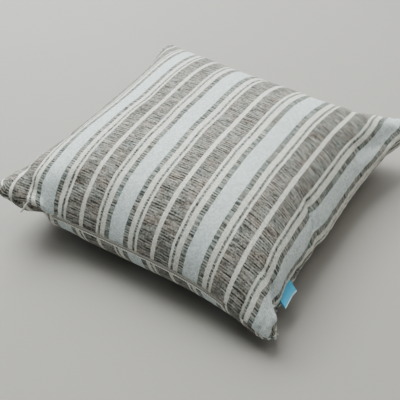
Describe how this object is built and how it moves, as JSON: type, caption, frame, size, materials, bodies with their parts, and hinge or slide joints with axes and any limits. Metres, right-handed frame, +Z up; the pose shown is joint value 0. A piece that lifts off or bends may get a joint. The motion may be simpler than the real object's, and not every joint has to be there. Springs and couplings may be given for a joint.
{
  "type": "outdoor scatter cushion",
  "caption": "Square filled scatter cushion in striped woven cloth, lying on its back, with a zip along one edge and a blank side tab.",
  "frame": {"origin": "centre of the object's box in plan, on the surface that the cushion lies on", "axes": "+Z up through the crown, +X along the zip edge from the raised left corner to the folded front corner, +Y along the stripes away from the zip edge"},
  "size_m": [0.4332, 0.4416, 0.1391],
  "materials": {
    "striped_cloth": "matt hand-woven look in pale, dark grey and grey-brown stripes",
    "zip_tape": "matt grey woven tape",
    "zip_metal": "dull nickel",
    "pull_metal": "pale satin nickel",
    "blue_tape": "smooth woven ribbon, blank"
  },
  "bodies": {
    "root": {"cushion": "striped_cloth", "zip_strip": "zip_tape", "zip_slider": "zip_metal", "zip_pull": "pull_metal", "side_tab": "blue_tape"}
  },
  "joints": []
}
